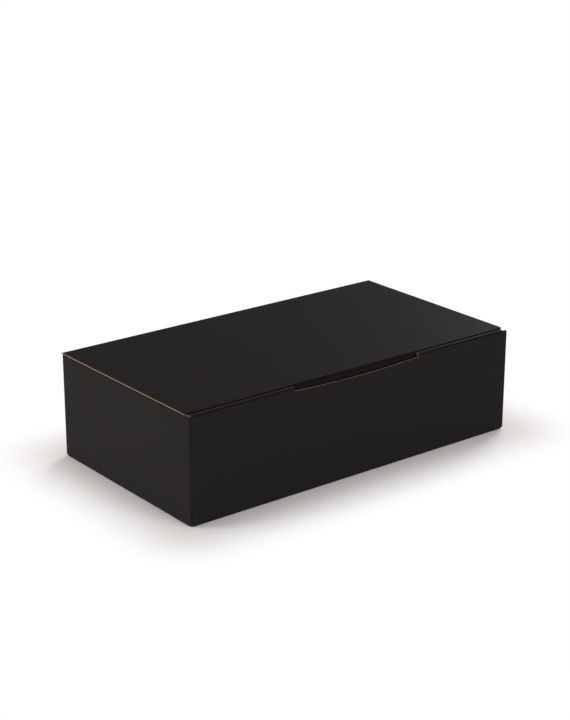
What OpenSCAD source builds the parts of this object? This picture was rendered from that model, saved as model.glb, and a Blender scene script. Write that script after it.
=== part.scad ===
// Two-bottle wine box, lying flat: a folded carton of thin corrugated board with a hinged lid.
// The long side runs along X, the notched front wall is at -Y, and the box stands on Z = 0.
// The origin is the middle of the underside.

/* [Box] */
// Outside length, along the bottles
box_w = 330; // [300:1:380]
// Outside depth, front wall to back wall
box_d = 181; // [170:1:200]
// Outside height, closed
box_h = 91; // [84:1:110]

/* [Board] */
// Thickness of the corrugated board
board = 1.5; // [1.2:0.1:1.8]
// Inside radius of a crease
crease_r = 0.1; // [0.1:0.1:0.6]

/* [Front wall] */
// Space between the two plies of the rolled front wall, as a multiple of the board
roll_space = 1; // [1:0.1:1.4]
// How far the roll stops short of the crease at the folded corner
roll_short_fold = 0.5; // [0.3:0.1:4]
// How far the roll stops short of the glued corner
roll_short_glue = 5.5; // [4:0.5:9]
// How much lower than the roll the cut top edge is at the corners
corner_drop = 0.7; // [0.4:0.1:1.2]
// Height of the inner ply's free edge above the bottom flaps
ply_foot_gap = 0.4; // [0.2:0.1:2]

/* [Thumb notch] */
// Length of the notch in the roll
notch_w = 130; // [90:5:180]
// Depth of the notch at its two ends
notch_end = 3.1; // [2.5:0.1:5]
// How much deeper the notch bows in its middle
notch_bow = 2; // [1:0.5:4]
// How much deeper the notch is in the inner ply
notch_back = 2; // [1:0.5:5]

/* [Lid] */
// Gap between the roll and the front of the lid
lid_gap = 0.3; // [0.3:0.1:1]
// Gap between the lid and what it rests on
lid_rest = 0.2; // [0.1:0.05:0.4]
// Inside radius of the soft crease along the front of the lid
lid_crease_r = 0.6; // [0.4:0.1:1.5]
// Size of the cut-off front corners of the lid, along the length
lid_cut_x = 2.5; // [2.5:0.5:5]
// Size of the cut-off front corners of the lid, along the depth
lid_cut_y = 2.2; // [2.2:0.1:4]
// Depth of the tuck flap below the top of the lid
tuck_h = 36; // [26:1:40]
// How far the tuck flap leans in, which lets it swing out past the roll
tuck_lean = 6.5; // [6:0.5:9]
// How far the tuck flap stops short of each side of the box
tuck_short = 3.5; // [3:0.5:10]
// How much narrower the tuck flap is at its free edge, on each side
tuck_taper = 6; // [2:1:20]
// Radius of the tuck flap's free corners
tuck_r = 14; // [6:1:20]

/* [Dust flaps] */
// Length of each dust flap, from its end wall
dust_len = 62; // [40:1:90]
// Radius of the dust flaps' free corners
dust_r = 12; // [5:1:18]
// How far the free edge of a dust flap is narrowed, on each side
dust_taper = 8; // [4:1:20]
// Clearance between the tuck flap and the dust flaps it passes
dust_gap = 1; // [0.6:0.1:3]
// How far the upright ears at the front corners reach past the back of the roll
ear_over = 0.5; // [0.2:0.1:0.7]
// How much lower than the roll the ear at the glued corner is
ear_drop = 2.6; // [2:0.1:4]
// Width of the slit between an ear and the crease of the dust flap
ear_slit = 0.4; // [0.3:0.1:1]

/* [Bottom] */
// Width of the flap that glues the front wall to the right end wall
glue_w = 26; // [18:1:35]
// How far the glue flap narrows towards its free edge, at the top and at the bottom
glue_taper = 6; // [3:1:12]
// How far the glued flap is pressed into the back of the front wall
glue_press = 0.05; // [0.02:0.01:0.1]
// Gap at the seams between the bottom flaps
seam = 0.6; // [0.4:0.1:1.5]
// Length of the locking tongues in the middle of the bottom
tongue_w = 62; // [40:1:70]
// How far a tongue reaches past the middle seam, and back over its own flap
tongue_d = 24; // [12:1:30]
// Radius of the tongues' free corners
tongue_r = 8; // [4:1:12]
// Half width of the blunt tip of each end flap
end_tip = 3; // [2:0.5:8]
// Width over which a glued corner panel lies on the flap that carries it
lap = 4; // [3:0.5:8]

/* [Divider] */
// Height of the fold between the bottles, above the floor it lies on
fin_h = 70; // [50:1:76]
// Space between the two plies of that fold
fin_space = 0.5; // [0.3:0.1:1]
// Clearance round the divider's foot
foot_gap = 0.5; // [0.4:0.1:2]

/* [Hidden] */
$fn = 48;
notch_facets = 720;
past = 1;
corner_bite = 0.02;

black_print = [0.15, 0.14, 0.13];
kraft = [0.66, 0.52, 0.38];

x_in = box_w / 2 - board;
fold_r = board + crease_r;
lid_fold_r = board + lid_crease_r;

// Front wall: the hollow of the roll holds the glue flap
roll_gap = board * roll_space - glue_press;
roll_th = 2 * board + roll_gap;
y_front = -box_d / 2;
y_roll_back = y_front + roll_th;
y_glue = y_front + board - glue_press;
y_back = box_d / 2;
y_ear = y_roll_back + ear_over;
roll_x0 = -box_w / 2 + fold_r + roll_short_fold;
roll_x1 = box_w / 2 - roll_short_glue;

// Heights: the lid's top is level with the roll, and the end walls carry its underside
lid_under = box_h - board;
rest_top = lid_under - lid_rest;
floor_top = 2 * board;
corner_top = box_h - corner_drop;
ear_top = box_h - ear_drop;
z_roll = box_h - fold_r - board;

// The lid turns about the middle of the board at the back edge
hinge_y = y_back - board / 2;
hinge_z = box_h - board / 2;
lid_front = y_roll_back + lid_gap;
x_lid_cut = box_w / 2 - lid_cut_x;
x_tuck = box_w / 2 - tuck_short;
tuck_len = tuck_h - lid_fold_r;

// Notch: the radius of the bowed cut follows from its length and its bow
notch_r = (notch_w * notch_w / 4 + notch_bow * notch_bow) / (2 * notch_bow);

// Carries a section drawn in the YZ plane along X
module along_x(x0, x1) {
    translate([x0, 0, 0])
        rotate([90, 0, 90])
            linear_extrude(x1 - x0)
                children();
}

// Carries a section drawn in the XZ plane along Y
module along_y(y0, y1) {
    translate([0, y1, 0])
        rotate([90, 0, 0])
            linear_extrude(y1 - y0)
                children();
}

// Carries a section drawn in the XY plane up Z
module along_z(z0, z1) {
    translate([0, 0, z0])
        linear_extrude(z1 - z0)
            children();
}

// A rectangle given by two opposite corners
module rect(x0, y0, x1, y1) {
    translate([x0, y0])
        square([x1 - x0, y1 - y0]);
}

// Section of a bend in the board, from one angle to another about its own centre
module bend(x, y, r_out, from, to) {
    reach = 2 * r_out;
    translate([x, y])
        intersection() {
            difference() {
                circle(r_out);
                circle(r_out - board);
            }
            polygon([
                [0, 0],
                reach * [cos(from), sin(from)],
                reach * [cos(to), sin(to)]
            ]);
        }
}

// Does something on both sides of the middle of the box's length
module both_ends() {
    children();
    mirror([1, 0, 0])
        children();
}

// A tapered outline whose two free corners, at the positive end, are rounded. Each side runs a hair
// inside the round that ends it.
module tongue_2d(half_root, half_tip, length, r) {
    lean = atan((half_root - half_tip) / length);
    x_r = length - r;
    y_r = half_root - x_r * tan(lean) - r / cos(lean);
    x_side = x_r + (r - corner_bite) * sin(lean);
    y_side = y_r + (r - corner_bite) * cos(lean);
    polygon([
        [0, -half_root],
        [x_side, -y_side],
        [length, -y_r],
        [length, y_r],
        [x_side, y_side],
        [0, half_root]
    ]);
    for (side = [-1, 1])
        translate([x_r, side * y_r])
            circle(r);
}

// Front wall between the corners: the outer ply, the folded top strip and the inner ply
module front_roll() {
    ply_foot = floor_top + ply_foot_gap;
    y_middle = y_front + roll_th / 2;
    difference() {
        union() {
            along_z(fold_r, z_roll)
                rect(-box_w / 2 + fold_r, y_front, box_w / 2, y_front + board);
            along_x(roll_x0, roll_x1) {
                bend(y_front + fold_r, box_h - fold_r, fold_r, 90, 180);
                bend(y_roll_back - fold_r, box_h - fold_r, fold_r, 0, 90);
                rect(y_front + fold_r, lid_under, y_roll_back - fold_r, box_h);
                rect(y_front, z_roll, y_front + board, box_h - fold_r);
                rect(y_roll_back - board, ply_foot, y_roll_back, box_h - fold_r);
            }
        }
        notch(y_front - past, y_middle, 0);
        notch(y_middle, y_roll_back + past, notch_back);
    }
}

// Cutter for the thumb notch: straight ends and a bowed bottom
module notch(y0, y1, deeper) {
    depth = notch_end + notch_bow + deeper;
    intersection() {
        along_y(y0, y1)
            rect(-notch_w / 2, box_h - depth - past, notch_w / 2, box_h + past);
        translate([0, y1, box_h - depth + notch_r])
            rotate([90, 0, 0])
                cylinder(r = notch_r, h = y1 - y0, $fn = notch_facets);
    }
}

// The cut top edge of the front wall beyond the two ends of the roll
module front_corners() {
    z_round = corner_top - board;
    along_z(z_roll, corner_top)
        rect(-box_w / 2 + fold_r, y_front, roll_x0, y_front + board);
    along_y(y_front, y_front + board) {
        rect(roll_x1, z_roll, x_in, corner_top);
        rect(x_in, z_roll, box_w / 2, z_round);
        translate([x_in, z_round])
            circle(board);
    }
}

// Upright corners of the ring of walls: three creases, and the crease of the glue flap behind the front wall
module corner_folds() {
    rear_top = rest_top - crease_r;
    along_z(fold_r, corner_top)
        bend(-box_w / 2 + fold_r, y_front + fold_r, fold_r, 180, 270);
    along_z(fold_r, rear_top) {
        bend(-box_w / 2 + fold_r, y_back - fold_r, fold_r, 90, 180);
        bend(box_w / 2 - fold_r, y_back - fold_r, fold_r, 0, 90);
    }
    along_z(fold_r, ear_top)
        bend(box_w / 2 - fold_r, y_glue + fold_r, fold_r, -90, 0);
}

// Flap at the right end wall, glued behind the front wall in the hollow of the roll
module glue_flap() {
    foot = floor_top + ply_foot_gap;
    top = ear_top - board;
    along_y(y_glue, y_glue + board)
        polygon([
            [box_w / 2 - fold_r, foot],
            [box_w / 2 - glue_w, foot + glue_taper],
            [box_w / 2 - glue_w, top - glue_taper],
            [box_w / 2 - fold_r, top]
        ]);
}

// Back wall, cut straight under the turning edge of the lid
module back_wall() {
    along_z(fold_r, rest_top)
        rect(-box_w / 2 + fold_r, y_back - board, box_w / 2 - fold_r, y_back);
}

// One end wall, drawn at +X, with its upright ear, its dust flap and the crease between them
module end_wall(y_corner, z_ear) {
    dust_y0 = lid_front + board + dust_gap;
    dust_y1 = y_back - fold_r - board;
    half_dust = (dust_y1 - dust_y0) / 2;
    bend_z = rest_top - fold_r;
    x_fold = box_w / 2 - fold_r;
    along_x(x_in, box_w / 2) {
        rect(y_corner, fold_r, y_back - fold_r, bend_z);
        rect(y_corner, bend_z, y_ear, z_ear);
    }
    along_y(y_ear + ear_slit, dust_y1)
        bend(x_fold, bend_z, fold_r, 0, 90);
    along_z(rest_top - board, rest_top)
        translate([x_fold, (dust_y0 + dust_y1) / 2])
            mirror([1, 0])
                tongue_2d(half_dust, half_dust - dust_taper, dust_len - fold_r, dust_r);
}

// Creases that turn the four walls into the bottom flaps
module bottom_folds() {
    along_x(-box_w / 2 + fold_r, box_w / 2 - fold_r) {
        bend(y_front + fold_r, fold_r, fold_r, 180, 270);
        bend(y_back - fold_r, fold_r, fold_r, -90, 0);
    }
    both_ends()
        along_y(y_glue + fold_r, y_back - board - fold_r)
            bend(box_w / 2 - fold_r, fold_r, fold_r, -90, 0);
}

// Long bottom flap, drawn at the front, with its mitred ends and its glued corner panels above the end flaps
module long_flap() {
    x_root = box_w / 2 - fold_r - seam;
    y_root = y_front + fold_r;
    y_tip = -seam / 2;
    x_tip = x_root + y_root - y_tip;
    side = x_in - board;
    along_z(0, board)
        polygon([
            [-x_root, y_root],
            [x_root, y_root],
            [x_tip, y_tip],
            [-x_tip, y_tip]
        ]);
    both_ends()
        along_z(board, floor_top)
            polygon([
                [side - lap, y_root + board],
                [side, y_root + board],
                [side, y_tip],
                [x_tip - lap, y_tip]
            ]);
}

// Tongue of a long bottom flap, which laps over the other one on one half of the seam
module lock_tongue() {
    along_z(board, floor_top)
        translate([tongue_w / 2 + board, -tongue_d])
            rotate(90)
                tongue_2d(tongue_w / 2, tongue_w / 2 - board, 2 * tongue_d, tongue_r);
}

// End bottom flap, drawn at +X: a blunt triangle between the mitres of the long flaps
module end_flap() {
    x_root = box_w / 2 - fold_r;
    y_root = box_d / 2 - fold_r - seam;
    x_tip = x_root - y_root + end_tip;
    along_z(0, board)
        polygon([
            [x_root, -y_root],
            [x_root, y_root],
            [x_tip, end_tip],
            [x_tip, -end_tip]
        ]);
}

// The carton without its lid: one folded and glued sheet
module tray() {
    color(black_print) {
        front_roll();
        front_corners();
        corner_folds();
        glue_flap();
        back_wall();
        mirror([1, 0, 0])
            end_wall(y_front + fold_r, corner_top);
        end_wall(y_glue + fold_r, ear_top);
        bottom_folds();
        for (turn = [0, 180])
            rotate(turn) {
                long_flap();
                lock_tongue();
            }
        both_ends()
            end_flap();
    }
}

// Folded card that stands between the two bottles: a foot on each side and a doubled upright in the middle
module divider() {
    foot_y0 = y_roll_back + foot_gap;
    foot_y1 = y_back - board - foot_gap;
    middle = (foot_y0 + foot_y1) / 2;
    half = board + fin_space / 2;
    foot_top = floor_top + board;
    fin_top = floor_top + fin_h;
    length = 2 * (x_in - foot_gap);
    color(kraft)
        along_x(-length / 2, length / 2)
            translate([middle, 0]) {
                rect(foot_y0 - middle, floor_top, -half - crease_r, foot_top);
                rect(half + crease_r, floor_top, foot_y1 - middle, foot_top);
                bend(-half - crease_r, foot_top + crease_r, fold_r, 270, 360);
                bend(half + crease_r, foot_top + crease_r, fold_r, 180, 270);
                rect(-half, foot_top + crease_r, -fin_space / 2, fin_top - half);
                rect(fin_space / 2, foot_top + crease_r, half, fin_top - half);
                bend(0, fin_top - half, half, 0, 90);
                bend(0, fin_top - half, half, 90, 180);
            }
}

// Cutter for one front corner of the lid, which is cut off raw
module lid_corner_cut() {
    y_corner = lid_front + lid_cut_y;
    along_z(lid_under - past, box_h + past)
        polygon([
            [box_w / 2 + past, lid_front - past],
            [box_w / 2 + past, y_corner],
            [box_w / 2, y_corner],
            [x_lid_cut, lid_front],
            [x_lid_cut, lid_front - past]
        ]);
}

// The lid: its flat top with a rounded front edge, the rounded edge it turns on, and the tuck flap
module lid() {
    y_crease = lid_front + lid_fold_r;
    z_crease = box_h - lid_fold_r;
    color(black_print) {
        difference() {
            union() {
                along_z(lid_under, box_h)
                    rect(-box_w / 2, y_crease, box_w / 2, hinge_y);
                along_x(-box_w / 2, box_w / 2)
                    intersection() {
                        translate([y_crease, z_crease])
                            circle(lid_fold_r);
                        rect(lid_front - past, lid_under, y_crease, box_h + past);
                    }
            }
            both_ends()
                lid_corner_cut();
        }
        along_x(-box_w / 2, box_w / 2)
            translate([hinge_y, hinge_z])
                circle(board / 2);
        along_x(-x_tuck, x_tuck)
            bend(y_crease, z_crease, lid_fold_r, 90, 180 + tuck_lean);
        translate([0, y_crease, z_crease])
            rotate([tuck_lean, 0, 0])
                along_y(-lid_fold_r, -lid_crease_r)
                    rotate(-90)
                        tongue_2d(x_tuck, x_tuck - tuck_taper, tuck_len, tuck_r);
    }
}

tray();
divider();
lid();
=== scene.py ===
# A two-bottle wine box of black printed corrugated board, closed and lying flat.
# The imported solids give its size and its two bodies, the carton and the lid.
import math
import bpy
import numpy as np
from mathutils import Matrix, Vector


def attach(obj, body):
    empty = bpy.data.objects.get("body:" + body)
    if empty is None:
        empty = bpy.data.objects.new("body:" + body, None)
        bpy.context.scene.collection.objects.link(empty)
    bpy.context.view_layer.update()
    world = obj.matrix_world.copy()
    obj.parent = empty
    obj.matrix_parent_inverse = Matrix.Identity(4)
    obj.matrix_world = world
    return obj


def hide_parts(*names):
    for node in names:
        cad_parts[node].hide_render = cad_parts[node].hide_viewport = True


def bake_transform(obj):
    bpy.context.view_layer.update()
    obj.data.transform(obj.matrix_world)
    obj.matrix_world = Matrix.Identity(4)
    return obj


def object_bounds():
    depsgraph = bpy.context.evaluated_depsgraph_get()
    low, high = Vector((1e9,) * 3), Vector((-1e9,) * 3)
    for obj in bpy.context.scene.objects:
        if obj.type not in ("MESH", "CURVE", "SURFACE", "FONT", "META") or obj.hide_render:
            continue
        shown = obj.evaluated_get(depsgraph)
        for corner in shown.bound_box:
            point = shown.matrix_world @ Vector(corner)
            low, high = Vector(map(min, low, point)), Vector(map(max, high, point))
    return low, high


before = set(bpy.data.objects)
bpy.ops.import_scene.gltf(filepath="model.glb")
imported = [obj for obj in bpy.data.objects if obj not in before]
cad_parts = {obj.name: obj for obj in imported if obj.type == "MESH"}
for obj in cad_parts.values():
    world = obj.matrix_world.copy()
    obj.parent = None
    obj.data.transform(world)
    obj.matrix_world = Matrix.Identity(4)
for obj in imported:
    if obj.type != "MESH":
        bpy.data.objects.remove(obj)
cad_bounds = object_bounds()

scene = bpy.context.scene

# The studio: a camera with a long lens, a little above the box and facing the corner between the
# notched front wall and the left end, in front of a white table with soft light all round.
camera_place = (-0.8527, -1.0807, 0.5659)
camera_turn, camera_dip, camera_roll = math.radians(38.148), math.radians(19.669), math.radians(0.10)
camera_data = bpy.data.cameras.new("camera")
camera_data.sensor_fit = "VERTICAL"
camera_data.sensor_height = 36.0
camera_data.lens = 87.24
camera_data.clip_end = 20.0
camera = bpy.data.objects.new("camera", camera_data)
camera.location = camera_place
camera.rotation_euler = (
    Matrix.Rotation(-camera_turn, 3, "Z")
    @ Matrix.Rotation(math.pi / 2 - camera_dip, 3, "X")
    @ Matrix.Rotation(camera_roll, 3, "Z")).to_euler()
scene.collection.objects.link(camera)
scene.camera = camera
scene.view_settings.view_transform = "Standard"


def showing_rays(nodes, links):
    """One for a ray that shows the backdrop, to the eye or by a glossy or clear surface, and else zero."""
    path = nodes.new("ShaderNodeLightPath")
    total = path.outputs["Is Camera Ray"]
    for kind in ("Is Glossy Ray", "Is Transmission Ray"):
        added = nodes.new("ShaderNodeMath")
        added.operation = "ADD"
        added.use_clamp = True
        links.new(total, added.inputs[0])
        links.new(path.outputs[kind], added.inputs[1])
        total = added.outputs["Value"]
    return total


studio = bpy.data.worlds.new("studio")
scene.world = studio
studio.use_nodes = True
sky = studio.node_tree.nodes
sky_links = studio.node_tree.links
room = sky["Background"]
room.inputs["Color"].default_value = (1.0, 1.0, 1.0, 1.0)
room.inputs["Strength"].default_value = 0.2
backdrop = sky.new("ShaderNodeBackground")
backdrop.inputs["Color"].default_value = (1.0, 1.0, 1.0, 1.0)
backdrop.inputs["Strength"].default_value = 1.0
either = sky.new("ShaderNodeMixShader")
sky_links.new(showing_rays(sky, sky_links), either.inputs["Fac"])
sky_links.new(room.outputs["Background"], either.inputs[1])
sky_links.new(backdrop.outputs["Background"], either.inputs[2])
sky_links.new(either.outputs["Shader"], sky["World Output"].inputs["Surface"])


def softbox(name, place, aim, width, height, power, tint=(1.0, 1.0, 1.0)):
    """A rectangular lamp at a place, turned so that its face looks at the aim."""
    lamp = bpy.data.lights.new(name, "AREA")
    lamp.shape = "RECTANGLE"
    lamp.size, lamp.size_y = width, height
    lamp.energy = power
    lamp.color = tint
    box = bpy.data.objects.new(name, lamp)
    box.location = place
    away = np.array(aim, float) - np.array(place, float)
    box.rotation_euler = (
        math.atan2(math.hypot(away[0], away[1]), -away[2]),
        0.0,
        math.atan2(away[1], away[0]) - math.pi / 2,
    )
    scene.collection.objects.link(box)


softbox("top_light", (0.2, 0.5, 2.2), (0.0, 0.0, 0.0), 2.6, 2.6, 17.5, (1.0, 0.80, 0.63))
softbox("left_light", (-1.5, 0.9, 0.25), (-0.1, 0.0, 0.05), 1.0, 0.5, 41.0)
softbox("front_light", (0.4, -2.4, 0.8), (0.0, 0.0, 0.05), 1.4, 1.2, 45.0)
softbox("right_light", (2.6, 1.3, 0.8), (0.1, 0.0, 0.09), 1.2, 0.6, 78.0)


def arithmetic(nodes, links, operation, first, second):
    """One step of arithmetic between two outputs or plain numbers."""
    step = nodes.new("ShaderNodeMath")
    step.operation = operation
    for place, value in ((0, first), (1, second)):
        if isinstance(value, (int, float)):
            step.inputs[place].default_value = value
        else:
            links.new(value, step.inputs[place])
    return step.outputs["Value"]


table_half = 6.0
table_mesh = bpy.data.meshes.new("table")
table_mesh.from_pydata(
    [(-table_half, -table_half, 0.0), (table_half, -table_half, 0.0),
     (table_half, table_half, 0.0), (-table_half, table_half, 0.0)],
    [], [(0, 1, 2, 3)])
table = bpy.data.objects.new("table", table_mesh)
scene.collection.objects.link(table)
table_white = bpy.data.materials.new("table_white")
table_white.use_nodes = True
nodes, links = table_white.node_tree.nodes, table_white.node_tree.links
surface = nodes["Principled BSDF"]
surface.inputs["Base Color"].default_value = (0.9, 0.9, 0.9, 1.0)
surface.inputs["Roughness"].default_value = 0.9
surface.inputs["Specular IOR Level"].default_value = 0.0
white_paper = nodes.new("ShaderNodeEmission")
white_paper.inputs["Color"].default_value = (1.0, 1.0, 1.0, 1.0)
white_paper.inputs["Strength"].default_value = 1.0
where = nodes.new("ShaderNodeTexCoord")
sideways = nodes.new("ShaderNodeVectorMath")
sideways.operation = "ABSOLUTE"
links.new(where.outputs["Object"], sideways.inputs[0])
beyond = nodes.new("ShaderNodeVectorMath")
beyond.operation = "SUBTRACT"
beyond.inputs[1].default_value = (cad_bounds[1][0], cad_bounds[1][1], 0.0)
links.new(sideways.outputs["Vector"], beyond.inputs[0])
outside = nodes.new("ShaderNodeVectorMath")
outside.operation = "MAXIMUM"
links.new(beyond.outputs["Vector"], outside.inputs[0])
far = nodes.new("ShaderNodeVectorMath")
far.operation = "LENGTH"
links.new(outside.outputs["Vector"], far.inputs[0])
fading = nodes.new("ShaderNodeMapRange")
fading.interpolation_type = "SMOOTHSTEP"
fading.inputs["From Min"].default_value = 0.0
fading.inputs["From Max"].default_value = 0.07
links.new(far.outputs["Value"], fading.inputs["Value"])
shown = arithmetic(nodes, links, "MULTIPLY", fading.outputs["Result"], showing_rays(nodes, links))
floor_mix = nodes.new("ShaderNodeMixShader")
links.new(shown, floor_mix.inputs["Fac"])
links.new(surface.outputs["BSDF"], floor_mix.inputs[1])
links.new(white_paper.outputs["Emission"], floor_mix.inputs[2])
links.new(floor_mix.outputs["Shader"], nodes["Material Output"].inputs["Surface"])
table_mesh.materials.append(table_white)


# The paper of the board: kraft fibres lie along the flutes, and the flutes show faintly through the
# liner as parallel waves. The three finishes below share them.
def paper_group():
    """Fibre is stretched noise along the sheet, Flute is a sine of the distance across the flutes, and
    Cloud is broad noise."""
    group = bpy.data.node_groups.new("paper", "ShaderNodeTree")
    for name, value in (("Fibre Scale", 900.0), ("Stretch", 0.25), ("Flute Pitch", 0.0032)):
        socket = group.interface.new_socket(name, in_out="INPUT", socket_type="NodeSocketFloat")
        socket.default_value = value
    for name in ("Fibre", "Flute", "Cloud"):
        group.interface.new_socket(name, in_out="OUTPUT", socket_type="NodeSocketFloat")
    nodes, links = group.nodes, group.links
    given = nodes.new("NodeGroupInput")
    given.location = (-900, 0)
    result = nodes.new("NodeGroupOutput")
    result.location = (600, 0)
    sheet = nodes.new("ShaderNodeAttribute")
    sheet.attribute_name = "sheet"
    sheet.location = (-900, 300)
    split = nodes.new("ShaderNodeSeparateXYZ")
    links.new(sheet.outputs["Vector"], split.inputs["Vector"])

    along = arithmetic(nodes, links, "MULTIPLY", split.outputs["Y"], given.outputs["Stretch"])
    fibre_place = nodes.new("ShaderNodeCombineXYZ")
    links.new(split.outputs["X"], fibre_place.inputs["X"])
    links.new(along, fibre_place.inputs["Y"])
    links.new(split.outputs["Z"], fibre_place.inputs["Z"])
    fibre = nodes.new("ShaderNodeTexNoise")
    fibre.inputs["Detail"].default_value = 4.0
    fibre.inputs["Roughness"].default_value = 0.6
    links.new(fibre_place.outputs["Vector"], fibre.inputs["Vector"])
    links.new(given.outputs["Fibre Scale"], fibre.inputs["Scale"])
    links.new(fibre.outputs["Fac"], result.inputs["Fibre"])

    waves = arithmetic(nodes, links, "DIVIDE", split.outputs["X"], given.outputs["Flute Pitch"])
    turns = arithmetic(nodes, links, "MULTIPLY", waves, 2.0 * math.pi)
    links.new(arithmetic(nodes, links, "SINE", turns, 0.0), result.inputs["Flute"])

    solid = nodes.new("ShaderNodeTexCoord")
    cloud = nodes.new("ShaderNodeTexNoise")
    cloud.inputs["Scale"].default_value = 14.0
    cloud.inputs["Detail"].default_value = 3.0
    links.new(solid.outputs["Object"], cloud.inputs["Vector"])
    links.new(cloud.outputs["Fac"], result.inputs["Cloud"])
    return group


paper = paper_group()


def tone_ramp(nodes, stops):
    """A colour ramp from a list of places and colours."""
    ramp = nodes.new("ShaderNodeValToRGB")
    band = ramp.color_ramp
    band.elements[0].position, band.elements[0].color = stops[0]
    band.elements[1].position, band.elements[1].color = stops[-1]
    for place, colour in stops[1:-1]:
        band.elements.new(place).color = colour
    return ramp


def board_finish(name, fibre_scale, stretch, roughness, gloss):
    """A material with the paper group in it, and the shader's own plain numbers set."""
    finish = bpy.data.materials.new(name)
    finish.use_nodes = True
    nodes, links = finish.node_tree.nodes, finish.node_tree.links
    shader = nodes["Principled BSDF"]
    shader.inputs["Roughness"].default_value = roughness
    shader.inputs["Specular IOR Level"].default_value = gloss
    fibres = nodes.new("ShaderNodeGroup")
    fibres.node_tree = paper
    fibres.inputs["Fibre Scale"].default_value = fibre_scale
    fibres.inputs["Stretch"].default_value = stretch
    return finish, nodes, links, shader, fibres


def paper_relief(nodes, links, fibres, shader, fibre_depth, flute_depth):
    """A bump whose height in metres is the fibre times its depth, plus the flute times its own."""
    height = arithmetic(
        nodes, links, "ADD",
        arithmetic(nodes, links, "MULTIPLY", fibres.outputs["Fibre"], fibre_depth),
        arithmetic(nodes, links, "MULTIPLY", fibres.outputs["Flute"], flute_depth))
    bump = nodes.new("ShaderNodeBump")
    bump.inputs["Strength"].default_value = 1.0
    bump.inputs["Distance"].default_value = 1.0
    links.new(height, bump.inputs["Height"])
    links.new(bump.outputs["Normal"], shader.inputs["Normal"])


# Matt black print on the outside: thin ink on brown paper, which shows a little between the fibres.
# Painted shade darkens the print in the creases at the front, and a painted highlight lightens the ridge of the
# roll, which is also smoother.
print_roughness, rub_polish = 0.5, 0.14
black_print, nodes, links, shader, fibres = board_finish("black_print", 1500.0, 0.35, print_roughness, 0.003)
ink = tone_ramp(nodes, [(0.3, (0.0136, 0.0125, 0.0114, 1.0)), (0.7, (0.0160, 0.0147, 0.0134, 1.0))])
links.new(fibres.outputs["Fibre"], ink.inputs["Fac"])
painted_light_mark = nodes.new("ShaderNodeAttribute")
painted_light_mark.attribute_name = "fold"
tone = ink.outputs["Color"]
painted_crease_shade, painted_ridge_highlight = (0.0080, 0.0070, 0.0062, 1.0), (0.0200, 0.0176, 0.0165, 1.0)
# Painted shade where the mark is -1 and a painted highlight where it is 1, mixed into the print's colour
for direction, colour in ((-1.0, painted_crease_shade), (1.0, painted_ridge_highlight)):
    strength = arithmetic(nodes, links, "MULTIPLY", painted_light_mark.outputs["Fac"], direction)
    strength = arithmetic(nodes, links, "MAXIMUM", strength, 0.0)
    changed = nodes.new("ShaderNodeMix")
    changed.data_type = "RGBA"
    changed.inputs["B"].default_value = colour
    links.new(strength, changed.inputs["Factor"])
    links.new(tone, changed.inputs["A"])
    tone = changed.outputs["Result"]
links.new(tone, shader.inputs["Base Color"])
smoothed = arithmetic(nodes, links, "MULTIPLY", strength, -rub_polish)
links.new(arithmetic(nodes, links, "ADD", smoothed, print_roughness), shader.inputs["Roughness"])
paper_relief(nodes, links, fibres, shader, 0.000010, 0.000003)

# Bare kraft inside the box: brown paper with darker and lighter fibres, and the flutes showing.
kraft_liner, nodes, links, shader, fibres = board_finish("kraft_liner", 1100.0, 0.22, 0.85, 0.2)
kraft_tone = tone_ramp(nodes, [
    (0.25, (0.280, 0.172, 0.094, 1.0)),
    (0.5, (0.360, 0.230, 0.130, 1.0)),
    (0.75, (0.430, 0.285, 0.165, 1.0))])
links.new(fibres.outputs["Fibre"], kraft_tone.inputs["Fac"])
blotch = tone_ramp(nodes, [(0.3, (0.93, 0.93, 0.93, 1.0)), (0.7, (1.0, 1.0, 1.0, 1.0))])
links.new(fibres.outputs["Cloud"], blotch.inputs["Fac"])
mottled = nodes.new("ShaderNodeMix")
mottled.data_type = "RGBA"
mottled.blend_type = "MULTIPLY"
mottled.inputs["Factor"].default_value = 1.0
links.new(kraft_tone.outputs["Color"], mottled.inputs["A"])
links.new(blotch.outputs["Color"], mottled.inputs["B"])
links.new(mottled.outputs["Result"], shader.inputs["Base Color"])
paper_relief(nodes, links, fibres, shader, 0.00002, 0.000012)

# The cut edge of the board: two thin liners with a wave of paper between them, brown and matt, with painted
# shade in the hollows of the wave, black where the ink has run over the edge of the outer liner, and painted
# shade on the inner liner's edge.
cut_board, nodes, links, shader, fibres = board_finish("cut_board", 1400.0, 1.0, 0.95, 0.1)
board_thickness, paper_thickness = 0.0015, 0.00024
flat_place = nodes.new("ShaderNodeAttribute")
flat_place.attribute_name = "sheet"
flat_split = nodes.new("ShaderNodeSeparateXYZ")
links.new(flat_place.outputs["Vector"], flat_split.inputs["Vector"])

swing = arithmetic(nodes, links, "MULTIPLY", fibres.outputs["Flute"], board_thickness / 2 - paper_thickness)
middle = arithmetic(nodes, links, "ADD", swing, board_thickness / 2)
off_wave = arithmetic(nodes, links, "SUBTRACT", flat_split.outputs["Z"], middle)
off_wave = arithmetic(nodes, links, "ABSOLUTE", off_wave, 0.0)
off_middle = arithmetic(nodes, links, "SUBTRACT", flat_split.outputs["Z"], board_thickness / 2)
off_middle = arithmetic(nodes, links, "ABSOLUTE", off_middle, 0.0)
off_liner = arithmetic(nodes, links, "SUBTRACT", board_thickness / 2 - paper_thickness / 2, off_middle)
off_liner = arithmetic(nodes, links, "ABSOLUTE", off_liner, 0.0)
off_paper = arithmetic(nodes, links, "MINIMUM", off_wave, off_liner)
hollow = arithmetic(nodes, links, "DIVIDE", off_paper, paper_thickness)
# Painted shade in the hollows of the wave, away from the paper
kraft_and_hollow_shade = tone_ramp(nodes, [(0.45, (0.255, 0.157, 0.090, 1.0)), (1.0, (0.085, 0.050, 0.027, 1.0))])
links.new(hollow, kraft_and_hollow_shade.inputs["Fac"])
inked_depth = arithmetic(nodes, links, "DIVIDE", flat_split.outputs["Z"], board_thickness)
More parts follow.
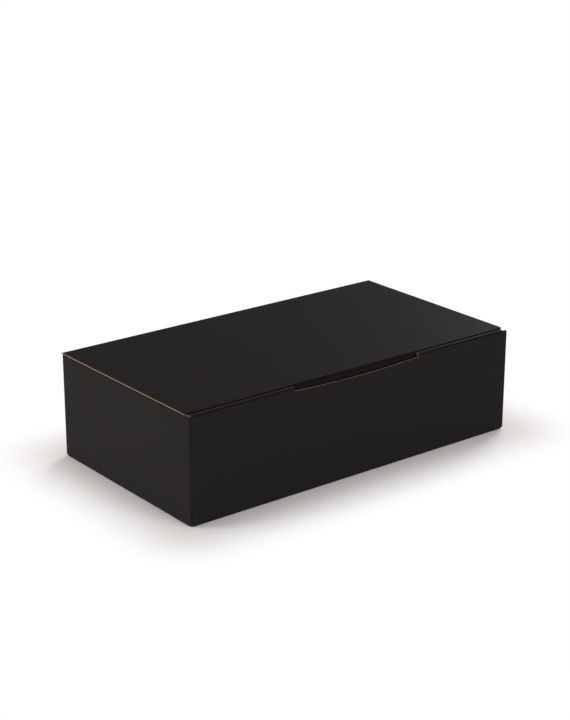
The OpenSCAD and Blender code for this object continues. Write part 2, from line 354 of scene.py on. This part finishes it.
# Black ink at the outer liner's edge, and painted shade darkening the inner liner's edge
ink_and_inner_shade = tone_ramp(nodes, [
    (0.1, (0.0, 0.0, 0.0, 1.0)),
    (0.22, (1.0, 1.0, 1.0, 1.0)),
    (0.8, (1.0, 1.0, 1.0, 1.0)),
    (0.98, (0.25, 0.25, 0.25, 1.0))])
links.new(inked_depth, ink_and_inner_shade.inputs["Fac"])
edge_tone = nodes.new("ShaderNodeMix")
edge_tone.data_type = "RGBA"
edge_tone.inputs["A"].default_value = (0.014, 0.012, 0.011, 1.0)
links.new(ink_and_inner_shade.outputs["Color"], edge_tone.inputs["Factor"])
links.new(kraft_and_hollow_shade.outputs["Color"], edge_tone.inputs["B"])
links.new(edge_tone.outputs["Result"], shader.inputs["Base Color"])
paper_relief(nodes, links, fibres, shader, 0.00003, 0.0)

# The carton: one sheet of fluted board, printed on one side. Its four walls fold into a ring, the
# front wall rolls over at the top, and flaps at the top and the bottom fold in.
box_length, box_depth, box_height = 330.0, 181.0, 91.0
board, fold = 1.5, 1.6
MM = 0.001


def stretch_of(*stops, step):
    """Places along a line: every stop, and between two stops equal steps no longer than the step."""
    places = [np.array(stops[:1], float)]
    for start, stop in zip(stops[:-1], stops[1:]):
        count = max(1, math.ceil(abs(stop - start) / step - 1e-9))
        places.append(np.linspace(start, stop, count + 1)[1:])
    return np.concatenate(places)


def run_of(first, second, facing):
    """A straight part of a section through given places, where one of the two coordinates may be the
    same number for all of them, and all have one facing direction."""
    points = np.stack(np.broadcast_arrays(first, second), axis=-1).astype(float)
    return points, np.broadcast_to(np.array(facing, float), points.shape)


def straight(start, stop, facing, parts=None):
    """A straight part of a section from start to stop, in equal parts no longer than 12 mm."""
    start, stop = np.array(start, float), np.array(stop, float)
    count = parts or max(1, math.ceil(np.linalg.norm(stop - start) / 12.0))
    points = start + (stop - start) * np.linspace(0.0, 1.0, count + 1)[:, None]
    return run_of(points[:, 0], points[:, 1], facing)


def bent(centre, radius, start, stop, parts=9, hollow=False):
    """A round part of a section: centre plus radius times (cosine, sine). The facing direction points
    away from the centre, or to it where the bend is hollow."""
    angles = np.radians(np.linspace(start, stop, parts + 1))
    out = np.stack([np.cos(angles), np.sin(angles)], axis=1)
    return np.array(centre, float) + radius * out, -out if hollow else out


def section(*parts):
    """Joins parts end to end, and gives points, facing directions and the distance along the section."""
    points = np.concatenate([parts[0][0]] + [p[1:] for p, n in parts[1:]])
    facing = np.concatenate([parts[0][1]] + [n[1:] for p, n in parts[1:]])
    steps = np.linalg.norm(np.diff(points, axis=0), axis=1)
    return points, facing, np.concatenate([[0.0], np.cumsum(steps)])


def carried(shape, low, high, share, axes, marks=0.0):
    """A section carried along a straight line. Row i is a point of the section, and column j lies the
    share j of the way from that row's low end to its high end. Axes names the section's two axes and
    the line's, such as yzx. Gives points, facing, the place on the flat sheet, and the painted light mark
    of each row, which is -1 where shade is painted into a crease and 1 where a highlight is painted on a ridge."""
    points, facing, along = shape
    rows, columns = len(points), len(share)
    low = np.broadcast_to(low, rows)[:, None]
    high = np.broadcast_to(high, rows)[:, None]
    line = low + (high - low) * np.asarray(share)[None, :]
    place = ["xyz".index(a) for a in axes]
    out = np.zeros((rows, columns, 3))
    way = np.zeros((rows, columns, 3))
    out[..., place[0]] = points[:, 0, None]
    out[..., place[1]] = points[:, 1, None]
    out[..., place[2]] = line
    way[..., place[0]] = facing[:, 0, None]
    way[..., place[1]] = facing[:, 1, None]
    flat = np.stack([line, np.broadcast_to(along[:, None], line.shape)], axis=-1)
    if axes == "xyz":
        flat = flat[..., ::-1]
    marks = np.broadcast_to(marks, rows)[:, None]
    return out, way, flat, np.broadcast_to(marks, line.shape)


def folded_board(name, patches, finishes, thickness=board, weld=0.002):
    """Closes a sheet from patches of its outer side. The inner side is each point moved back along its
    facing direction by the thickness. Corners closer than the weld are one point, and each edge that
    only one face uses gets a strip across the thickness."""
    spots, ways, flats, marks, faces, count = [], [], [], [], [], 0
    for points, facing, flat, painted_light_mark in patches:
        rows, columns = points.shape[:2]
        grid = np.arange(rows * columns).reshape(rows, columns) + count
        quads = np.stack([grid[:-1, :-1], grid[:-1, 1:], grid[1:, 1:], grid[1:, :-1]], axis=-1).reshape(-1, 4)
        faces.append(quads)
        spots.append(points.reshape(-1, 3))
        ways.append(facing.reshape(-1, 3))
        flats.append(flat.reshape(-1, 2))
        marks.append(np.asarray(painted_light_mark).reshape(-1))
        count += rows * columns
    spots, ways, flats = np.concatenate(spots), np.concatenate(ways), np.concatenate(flats)
    marks, faces = np.concatenate(marks), np.concatenate(faces)
    cross = np.cross(spots[faces[:, 2]] - spots[faces[:, 0]], spots[faces[:, 3]] - spots[faces[:, 1]])
    turned = (cross * ways[faces[:, 0]]).sum(axis=1) < 0.0
    faces[turned] = faces[turned][:, ::-1]

    keys = np.round(spots / weld).astype(np.int64)
    first, joined = np.unique(keys, axis=0, return_index=True, return_inverse=True)[1:]
    joined = joined.reshape(-1)
    outer = spots[first]
    inner = outer - thickness * ways[first]
    total = len(outer)
    skin = joined[faces]

    starts, stops = skin.reshape(-1), np.roll(skin, -1, axis=1).reshape(-1)
    here, back = starts * total + stops, stops * total + starts
    rim = ~np.isin(here, back) & (starts != stops)
    a, b = starts[rim], stops[rim]
    flat_a, flat_b = flats[faces.reshape(-1)][rim], flats[np.roll(faces, -1, axis=1).reshape(-1)][rim]
    strips = np.stack([b, a, a + total, b + total], axis=1)

    def on_sheet(flat, depth):
        return np.concatenate([flat, np.full(flat.shape[:-1] + (1,), depth)], axis=-1)

    corners = np.concatenate([
        on_sheet(flats[faces], 0.0).reshape(-1, 3),
        on_sheet(flats[faces[:, ::-1]], thickness).reshape(-1, 3),
        np.stack([on_sheet(flat_b, 0.0), on_sheet(flat_a, 0.0),
                  on_sheet(flat_a, thickness), on_sheet(flat_b, thickness)], axis=1).reshape(-1, 3)])
    mesh = bpy.data.meshes.new(name)
    quads = np.concatenate([skin, skin[:, ::-1] + total, strips])
    mesh.from_pydata((np.concatenate([outer, inner]) * MM).tolist(), [], quads.tolist())
    for finish in finishes:
        mesh.materials.append(finish)
    side = np.repeat([0, 1, 2], [len(skin), len(skin), len(strips)]).astype(np.int32)
    mesh.polygons.foreach_set("material_index", side)
    mesh.polygons.foreach_set("use_smooth", np.ones(len(quads), bool))
    sheet = mesh.attributes.new("sheet", "FLOAT_VECTOR", "CORNER")
    sheet.data.foreach_set("vector", (corners * MM).astype(np.float32).ravel())
    # The painted light mark of each point, which the print's colour reads
    folded = mesh.attributes.new("fold", "FLOAT", "POINT")
    folded.data.foreach_set("value", np.tile(marks[first], 2).astype(np.float32))
    mesh.set_sharp_from_angle(angle=math.radians(35.0))
    mesh.validate()
    piece = bpy.data.objects.new(name, mesh)
    scene.collection.objects.link(piece)
    return piece


def rounded_tongue(half_root, half_tip, length, radius, parts=8, step=12.0):
    """Distances from a flap's root, and its half width at each: straight sides that taper, and a round
    corner whose half width is the corner's centre plus the root of radius squared less distance squared."""
    lean = math.atan((half_root - half_tip) / length)
    centre = length - radius
    beside = half_root - centre * math.tan(lean) - radius / math.cos(lean)
    sides = stretch_of(0.0, centre + radius * math.sin(lean), step=step)
    round_part = centre + radius * np.sin(np.linspace(lean, math.pi / 2, parts + 1))[1:]
    halves = np.concatenate([
        half_root - sides * math.tan(lean),
        beside + np.sqrt(np.clip(radius ** 2 - (round_part - centre) ** 2, 0.0, None))])
    return np.concatenate([sides, round_part]), halves


def shares(places):
    """Places along a line as shares of the way from the first to the last."""
    places = np.asarray(places, float)
    return (places - places[0]) / (places[-1] - places[0])


# Its walls, from the glued flap round the right end, the back and the left end to the front.
x_end, y_front, y_back = box_length / 2, -box_depth / 2, box_depth / 2
x_fold, y_fold = x_end - fold, y_back - fold
glue_press, ear_over, ear_slit, lid_gap, dust_gap = 0.05, 0.5, 0.4, 0.3, 1.0
y_glue = y_front + board - glue_press
y_roll_back = y_front + 3 * board - glue_press
y_ear = y_roll_back + ear_over
rest_top = 89.3
wall_top = rest_top - fold
roll_side, corner_top, ear_top, rear_top = box_height - fold, 90.3, 88.4, 89.2
crease_join = 87.9
notch_half, notch_end, notch_bow, notch_back = 65.0, 3.1, 2.0, 2.0
notch_level = 85.0
low_levels = stretch_of(fold, notch_level, step=9.0)
notch_foot = box_height - notch_end
mid_levels = np.array([86.2, wall_top, notch_foot])
front_levels = np.concatenate([low_levels, mid_levels, [roll_side]])
ear_levels = np.concatenate([front_levels, [corner_top]])
end_levels = np.concatenate([low_levels, mid_levels[:2]])
glue_levels = np.concatenate([end_levels, [ear_top]])
back_levels = np.concatenate([end_levels, [crease_join]])
rear_levels = np.concatenate([back_levels, [rear_top]])
roll_short_fold, roll_short_glue = 0.5, 5.5
roll_left, roll_right = -x_fold + roll_short_fold, x_end - roll_short_glue
dust_front, dust_back = y_roll_back + lid_gap + board + dust_gap, y_fold - board
crease_front = y_glue + fold


def wall(start, stop, facing, levels, places):
    """A flat wall between two plan points, with columns at the levels and rows spaced as the places are."""
    start, stop = np.array(start, float), np.array(stop, float)
    share = shares(places)
    points = start + (stop - start) * share[:, None]
    shape = (points, np.broadcast_to(np.array(facing, float), points.shape),
             share * np.linalg.norm(stop - start))
    return carried(shape, levels[0], levels[-1], shares(levels), "xyz")


def corner(centre, start, stop, levels):
    """A vertical crease between two walls: an arc in plan, carried up the levels."""
    return carried(section(bent(centre, fold, start, stop)), levels[0], levels[-1], shares(levels), "xyz")


dust_places = stretch_of(dust_front, dust_back, step=8.0)
end_places = np.concatenate([[y_ear, y_ear + ear_slit], dust_places, [y_fold]])
patches = []
# Glued flap, behind the front wall in the hollow of the roll
glue_width, flap_foot, flap_head, glue_taper = 26.0, 3.4, 86.9, 6.0
flap_edge, flap_root = x_end - glue_width, x_fold - 0.4
flap_places = np.array([flap_edge, flap_edge + 12.0, flap_root, x_fold])
glue_flap = wall((flap_edge, y_glue), (x_fold, y_glue), (0.0, -1.0), glue_levels, flap_places)
flap_low = np.interp(flap_places, [flap_edge, flap_root, x_fold], [flap_foot + glue_taper, flap_foot, fold])
flap_high = np.interp(flap_places, [flap_edge, flap_root, x_fold], [flap_head - glue_taper, flap_head, ear_top])
glue_flap[0][..., 2] = flap_low[:, None] + (flap_high - flap_low)[:, None] * shares(glue_levels)[None, :]
patches.append(glue_flap)
patches.append(corner((x_fold, crease_front), -90, 0, glue_levels))
patches.append(wall((x_end, crease_front), (x_end, y_ear), (1.0, 0.0), glue_levels, [crease_front, y_ear]))
patches.append(wall((x_end, y_ear), (x_end, y_fold), (1.0, 0.0), end_levels, end_places))
patches.append(corner((x_fold, y_fold), 0, 90, rear_levels))
patches.append(wall((x_fold, y_back), (-x_fold, y_back), (0.0, 1.0), back_levels,
                    stretch_of(x_fold, -x_fold, step=12.0)))
patches.append(corner((-x_fold, y_fold), 90, 180, rear_levels))
patches.append(wall((-x_end, y_fold), (-x_end, y_ear), (-1.0, 0.0), end_levels, end_places[::-1]))
patches.append(wall((-x_end, y_ear), (-x_end, -y_fold), (-1.0, 0.0), ear_levels,
                    [y_ear, crease_front, -y_fold]))
patches.append(corner((-x_fold, -y_fold), 180, 270, ear_levels))
patches.append(wall((-x_fold, y_front), (roll_left, y_front), (0.0, -1.0), ear_levels, [-x_fold, roll_left]))

# Front wall beside the notch, rolled over at the top and down again inside
ply_foot, ply_level = 3.4, 80.0
inner_notch = notch_foot - notch_back
inner_levels = np.concatenate([[roll_side, inner_notch, 83.0], stretch_of(ply_level, ply_foot, step=12.0)])
rolled = section(
    run_of(y_front, front_levels, (-1.0, 0.0)),
    bent((y_front + fold, roll_side), fold, 180, 90),
    straight((y_front + fold, box_height), (y_roll_back - fold, box_height), (0.0, 1.0)),
    bent((y_roll_back - fold, roll_side), fold, 90, 0),
    run_of(y_roll_back, inner_levels, (1.0, 0.0)))
front_left = stretch_of(roll_left, -notch_half, step=8.0)
front_middle = stretch_of(-notch_half, notch_half, step=5.0)
front_right = stretch_of(notch_half, roll_right, step=8.0)
tilt = np.degrees(np.arctan2(rolled[1][:, 1], rolled[1][:, 0])) % 360.0
# Painted shade on the roll's creases and a painted highlight on its top ridge
roll_painted_light = np.interp(tilt, [0, 10, 40, 60, 120, 140, 172, 180], [0, -1, -1, 1, 1, -1, -1, 0])
patches.append(carried(rolled, roll_left, -notch_half, shares(front_left), "yzx", roll_painted_light))
patches.append(carried(rolled, notch_half, roll_right, shares(front_right), "yzx", roll_painted_light))


def under_notch(y, facing, levels, level, edge_levels, deeper):
    """The wall under the notch: straight rows up to a level, then rows that close in on the cut, which
    is bowed: its depth is the end depth plus the bow times one less the square of the place."""
    depth = notch_end + deeper + notch_bow * (1 - (front_middle / notch_half) ** 2)
    cut = box_height - depth
    span = np.abs(edge_levels - level) / abs(edge_levels[-1] - level)
    rows = np.concatenate([
        np.repeat(levels[:, None], len(front_middle), axis=1),
        level + (cut - level)[None, :] * span[:, None]])
    points = np.stack([np.broadcast_to(front_middle, rows.shape), np.full(rows.shape, y), rows], axis=-1)
    way = np.broadcast_to(np.array([0.0, facing, 0.0]), points.shape)
    flat = points[..., [0, 2]]
    return points, way, flat, np.zeros(rows.shape)


patches.append(under_notch(y_front, -1.0, low_levels, notch_level, mid_levels, 0.0))
patches.append(under_notch(
    y_roll_back, 1.0, inner_levels[3:][::-1], ply_level, inner_levels[1:3][::-1], notch_back))

# The raw end of the front wall at the right, cut level a little lower than the roll and rounded
last_middle, last_round = 161.5, x_end - board
last_places = np.concatenate([
    [roll_right, last_middle, x_fold],
    last_round + board * np.sin(np.radians([0, 22, 45, 67, 90]))])
past_round = np.clip(last_places - last_round, 0.0, None)
last_top = corner_top - board + np.sqrt(np.clip(board ** 2 - past_round ** 2, 0.0, None))
last_wall = wall((roll_right, y_front), (x_end, y_front), (0.0, -1.0), ear_levels, last_places)
above = shares(np.concatenate([[notch_level], ear_levels[len(low_levels):]]))
last_wall[0][..., len(low_levels) - 1:, 2] = notch_level + (last_top - notch_level)[:, None] * above[None, :]
patches.append(last_wall)

# Dust flaps, folded in over the ends. Each crease runs on to the slit beside the ear.
dust_length, dust_taper, dust_round = 62.0, 8.0, 12.0
dust_half = (dust_back - dust_front) / 2
dust_rows, dust_halves = rounded_tongue(dust_half, dust_half - dust_taper, dust_length - fold, dust_round)
dust_middle = (dust_front + dust_back) / 2
for side in (1.0, -1.0):
    crease_arc = section(bent((side * x_fold, wall_top), fold, 0 if side > 0 else 180, 90))
    patches.append(carried(crease_arc, y_ear + ear_slit, dust_back, shares(end_places[1:-1]), "xzy"))
    panel = (*run_of(side * (x_fold - dust_rows), rest_top, (0.0, 1.0)), crease_arc[2][-1] + dust_rows)
    patches.append(carried(
        panel, dust_middle - dust_halves, dust_middle + dust_halves, shares(dust_places), "xzy"))

# Bottom flaps: two long ones with mitred ends, and a blunt triangle at each end between them
seam, end_tip = 0.6, 3.0
for side in (1.0, -1.0):
    run = stretch_of(y_fold, seam / 2, step=11.0)
    flap = section(
        bent((side * y_fold, fold), fold, 0 if side > 0 else 180, -90 if side > 0 else 270),
        run_of(side * run, 0.0, (0.0, -1.0)))
    reach = np.abs(flap[0][:, 0])
    halves = np.where(reach >= y_fold - 1e-6, x_fold, x_fold - seam - (y_fold - reach))
    wall_places = stretch_of(x_fold, -x_fold, step=12.0) if side > 0 else np.concatenate([
        [-x_fold], front_left, front_middle[1:], front_right[1:], last_places[1:3]])
    span = shares(np.sort(wall_places))
    patches.append(carried(flap, -halves, halves, span, "yzx"))
for side in (1.0, -1.0):
    tip = x_fold - (y_fold - seam) + end_tip
    run = np.concatenate([[x_fold], stretch_of(x_fold - (seam + board), tip, step=11.0)])
    flap = section(
        bent((side * x_fold, fold), fold, 0 if side > 0 else 180, -90 if side > 0 else 270),
        run_of(side * run, 0.0, (0.0, -1.0)))
    inward = np.clip(x_fold - np.abs(flap[0][:, 0]), 0.0, None)
    high = np.minimum(y_fold - board, y_fold - seam - inward)
    low = np.maximum(crease_front, -(y_fold - seam - inward))
    places = np.concatenate([[crease_front, y_ear], end_places[1:-1]])
    patches.append(carried(flap, low, high, shares(places), "xzy"))
carton = folded_board("carton_sheet", patches, (black_print, kraft_liner, cut_board))
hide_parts("tray")
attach(carton, "carton")

# The second layer of the bottom: four corner panels glued down on the flaps, and a tongue of each
# long flap that locks over the other one. It lies on the flaps and is seen with the box open.
lap, tongue_half, tongue_reach, tongue_round = 4.0, 31.0, 24.0, 8.0
x_inside = x_end - 2 * board
tip_x = x_fold - seam - (y_fold - seam / 2)
patches = []
for x_side in (1.0, -1.0):
    for y_side in (1.0, -1.0):
        rows = stretch_of(y_fold - board, seam / 2, step=11.0)
        shape = (*run_of(y_side * rows, board, (0.0, -1.0)), rows)
        near = np.interp(rows, [seam / 2, y_fold - board], [tip_x - lap, x_inside - lap])
        patches.append(carried(shape, x_side * near, x_side * x_inside, np.linspace(0, 1, 9), "yzx"))
for turn in (1.0, -1.0):
    rows, halves = rounded_tongue(tongue_half, tongue_half - board, 2 * tongue_reach, tongue_round)
    shape = (*run_of(turn * (rows - tongue_reach), board, (0.0, -1.0)), rows)
    centre = turn * (tongue_half + board)
    patches.append(carried(shape, centre - halves, centre + halves, np.linspace(0, 1, 9), "yzx"))
lock = folded_board("bottom_lock", patches, (kraft_liner, kraft_liner, cut_board))
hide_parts("tray")
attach(lock, "carton")

# The divider: one card of bare board, folded to a foot, a doubled upright between the two bottles
# and a second foot. It stands loose on the bottom flaps.
floor_top, fin_height, fin_gap, foot_gap = 3.0, 70.0, 0.5, 0.5
foot_front, foot_back = y_roll_back + foot_gap, y_back - board - foot_gap
fin_middle, fin_half = (foot_front + foot_back) / 2, board + fin_gap / 2
foot_top, fin_top, inside_bend = floor_top + board, floor_top + fin_height, fold - board
fin_front, fin_back = fin_middle - fin_half, fin_middle + fin_half
bend_level, round_level = foot_top + inside_bend, fin_top - fin_half
card = section(
    straight((foot_front, foot_top), (fin_front - inside_bend, foot_top), (0.0, 1.0)),
    bent((fin_front - inside_bend, bend_level), inside_bend, 270, 360, hollow=True),
    straight((fin_front, bend_level), (fin_front, round_level), (-1.0, 0.0)),
    bent((fin_middle, round_level), fin_half, 180, 0, parts=14),
    straight((fin_back, round_level), (fin_back, bend_level), (1.0, 0.0)),
    bent((fin_back + inside_bend, bend_level), inside_bend, 180, 270, hollow=True),
    straight((fin_back + inside_bend, foot_top), (foot_back, foot_top), (0.0, 1.0)))
card_half = x_end - board - foot_gap
divider = folded_board("divider_card", [carried(card, -card_half, card_half, np.linspace(0, 1, 29), "yzx")],
                       (kraft_liner, kraft_liner, cut_board))
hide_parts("divider")
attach(divider, "carton")

# The lid: the top panel of the same sheet, with its front corners cut off, a soft crease along the
# front, and the tuck flap that goes in behind the front wall. The cutting die has pressed the board
# thinner along its two sides.
lid_front = y_roll_back + lid_gap
lid_fold, lean = 2.1, 6.5
lid_join, lid_cut_x, lid_cut_y = 87.4, 2.5, 2.2
tuck_height, tuck_short, tuck_taper, tuck_round = 36.0, 3.5, 6.0, 14.0
crease_y, crease_z = lid_front + lid_fold, box_height - lid_fold
y_corner = lid_front + lid_cut_y
out = np.array([math.cos(math.radians(180 + lean)), math.sin(math.radians(180 + lean))])
down = np.array([math.sin(math.radians(lean)), -math.cos(math.radians(lean))])
x_tuck = x_end - tuck_short
tuck_rows, tuck_halves = rounded_tongue(x_tuck, x_tuck - tuck_taper, tuck_height - lid_fold, tuck_round, parts=12)
tuck_root = np.array([crease_y, crease_z]) + lid_fold * out
lid_path = section(
    run_of(stretch_of(lid_join, y_corner, crease_y, step=12.0), box_height, (0.0, 1.0)),
    bent((crease_y, crease_z), lid_fold, 90, 180, parts=10),
    bent((crease_y, crease_z), lid_fold, 180, 180 + lean, parts=2),
    (tuck_root + tuck_rows[:, None] * down, np.broadcast_to(out, (len(tuck_rows), 2))))
cut_off = x_end - lid_cut_x * np.clip((y_corner - lid_path[0][:, 0]) / lid_cut_y, 0.0, 1.0)
halves = np.where(lid_path[0][:, 1] >= box_height - board, cut_off, tuck_halves[0])
halves[-len(tuck_rows):] = tuck_halves
lid_tilt = np.degrees(np.arctan2(lid_path[1][:, 1], lid_path[1][:, 0])) % 360.0
# Painted shade on the lid's front crease
lid_painted_shade = np.interp(lid_tilt, [90, 105, 180, 190], [0, -1, -1, 0])
edge_press = 0.72
panel = carried(lid_path, -halves, halves, np.linspace(0, 1, 41), "yzx", lid_painted_shade)
panel[1][:, [0, -1]] *= edge_press
lid = folded_board("lid_sheet", [panel], (black_print, kraft_liner, cut_board))
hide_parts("lid")
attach(lid, "lid")

# The crease that the lid turns on: the board of the back wall runs on over the edge into the lid, and
# bends there as the lid opens. Its sides widen from the back wall's to the lid's.
def crease_side(y, top, middle_level, radius):
    """One side of the crease as a section: up the wall, round the edge, and level to the lid."""
    return section(
        straight((y, crease_join), (y, middle_level), (1.0, 0.0), parts=4),
        straight((y, middle_level), (y, top - radius), (1.0, 0.0), parts=4),
        bent((y - radius, top - radius), radius, 0, 90, parts=10),
        straight((y - radius, top), (lid_join, top), (0.0, 1.0), parts=6))


outer_path = crease_side(y_back, box_height, rest_top, 0.9)
inner_path = crease_side(y_back - board, box_height - board, rest_top - 0.2, 0.15)
crease_shape = (outer_path[0], (outer_path[0] - inner_path[0]) / board, outer_path[2])
widen_length, press_length = 0.8, 2.2
past_wall, before_lid = outer_path[2] - (rest_top - crease_join), outer_path[2][-1] - outer_path[2]
crease_halves = np.interp(past_wall, [0.0, widen_length], [x_fold, x_end])
bend_sheet = carried(crease_shape, -crease_halves, crease_halves, np.linspace(0, 1, 41), "yzx")
press = np.interp(before_lid, [0.0, press_length], [edge_press, 1.0])
bend_sheet[1][:, [0, -1]] *= press[:, None, None]
crease = folded_board("lid_crease", [bend_sheet], (black_print, kraft_liner, cut_board), weld=0.0005)
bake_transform(crease)
